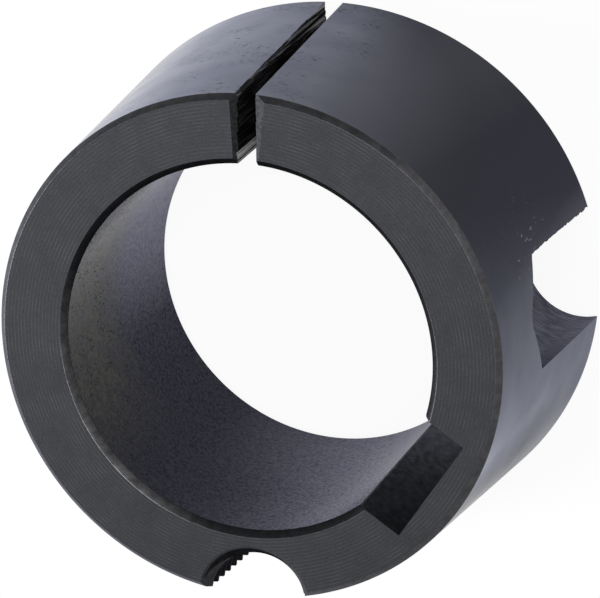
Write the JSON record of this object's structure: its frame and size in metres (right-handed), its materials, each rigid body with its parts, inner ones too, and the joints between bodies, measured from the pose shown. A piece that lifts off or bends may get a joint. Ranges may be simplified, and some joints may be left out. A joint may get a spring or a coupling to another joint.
{
  "type": "taper bush",
  "caption": "Split taper bush with parallel keyed bore and screw half-holes, drawn into a tapered hub so that it closes on its shaft.",
  "frame": {"origin": "on the bore's axis, in the plane of the large end's face", "axes": "+Z along the bore from the large end to the small end, +X through the middle of the keyway, +Y makes it right-handed"},
  "size_m": [0.0474, 0.0474, 0.0254],
  "materials": {
    "blackened_iron": "machined and chemically blackened, satin"
  },
  "bodies": {
    "root": {"taper_bush": "blackened_iron"}
  },
  "joints": []
}
